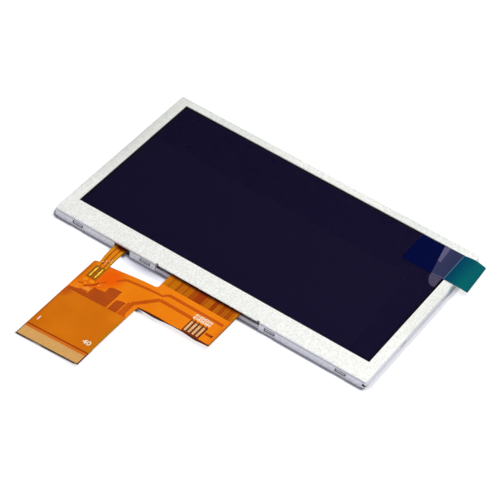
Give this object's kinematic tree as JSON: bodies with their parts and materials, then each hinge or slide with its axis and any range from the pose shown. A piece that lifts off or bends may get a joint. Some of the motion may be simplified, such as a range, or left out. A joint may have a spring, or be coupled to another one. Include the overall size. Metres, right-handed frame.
{
  "type": "tft display module",
  "caption": "Flat colour TFT display module in a folded steel bezel, with an orange flex that ends in a contact tail and a teal tab on its peel-off film.",
  "frame": {"origin": "middle of the module's rear face, on the plane of the rear cover", "axes": "+X along the long side, +Y towards the far long side, away from the flexes, +Z out of the screen"},
  "size_m": [0.1099, 0.1129, 0.0031],
  "materials": {
    "bezel_steel": "galvanised, fine bright spangle, satin",
    "cover_steel": "galvanised sheet, satin",
    "white_plastic": "white moulded polycarbonate",
    "reflector_film": "bright white film",
    "clear_acrylic": "clear moulded acrylic",
    "diffuser_film": "milky film",
    "prism_film": "finely ribbed clear film",
    "black_tape": "black double-sided tape",
    "polarizer_film": "near-black film, smooth",
    "panel_glass": "dark panel glass",
    "peel_film": "clear peel-off film, glossy, slightly violet",
    "teal_film": "clear teal film",
    "silicon": "dark polished silicon",
    "orange_polyimide": "orange polyimide with copper traces under it",
    "brown_polyimide": "brown polyimide stiffener",
    "gold_plate": "thin gold plating, satin",
    "amber_polyimide": "amber polyimide",
    "diode_package": "white package with yellow phosphor",
    "solder": "smooth solder on gold pads"
  },
  "bodies": {
    "root": {"front_bezel": "bezel_steel", "rear_cover": "cover_steel", "mould_frame": "white_plastic", "reflector_sheet": "reflector_film", "light_guide": "clear_acrylic", "diffuser_sheet": "diffuser_film", "lower_prism_sheet": "prism_film", "upper_prism_sheet": "prism_film", "rim_tape": "black_tape", "rear_polarizer": "polarizer_film", "tft_glass": "panel_glass", "colour_filter_glass": "panel_glass", "front_polarizer": "polarizer_film", "protective_film": "peel_film", "pull_tab": "teal_film", "driver_chip": "silicon", "main_flex": "orange_polyimide", "flex_stiffener": "brown_polyimide", "contact_fingers": "gold_plate", "test_pads": "gold_plate", "backlight_flex": "amber_polyimide", "leds": "diode_package", "solder_joints": "solder"}
  },
  "joints": []
}
